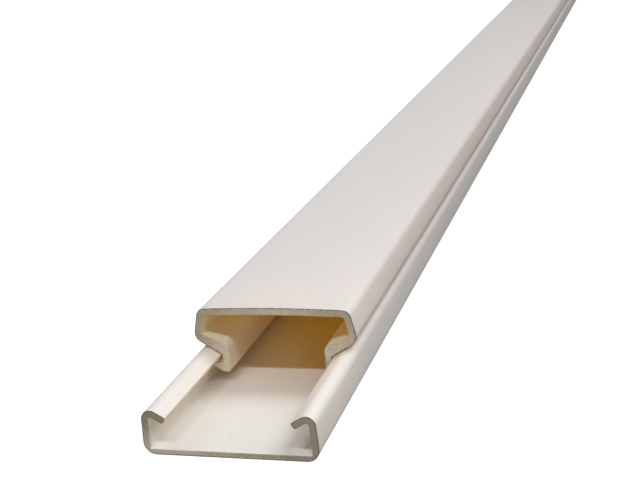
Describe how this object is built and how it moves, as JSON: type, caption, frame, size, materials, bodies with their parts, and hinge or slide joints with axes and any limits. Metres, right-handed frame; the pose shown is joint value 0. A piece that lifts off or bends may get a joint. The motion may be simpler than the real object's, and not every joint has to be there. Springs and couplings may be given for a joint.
{
  "type": "cord cover raceway",
  "caption": "Low cord cover raceway of off-white plastic: a flat channel with inward lips, and a clip-in cover that slides along them, set back from the channel's front end.",
  "frame": {"origin": "middle of the base channel's flat underside", "axes": "+Y along the raceway's length toward its far end, +Z out of the surface it is fixed to, +X across"},
  "size_m": [0.0332, 1.029, 0.0172],
  "materials": {
    "base_plastic": "satin",
    "cover_plastic": "satin"
  },
  "bodies": {
    "base": {"base_channel": "base_plastic"},
    "cover": {"snap_cover": "cover_plastic"}
  },
  "joints": [
    {"name": "cover_slide", "type": "slide", "parent": "base", "child": "cover", "axis": [0, 1, 0], "range_m": [-0.029, 0.9]}
  ]
}
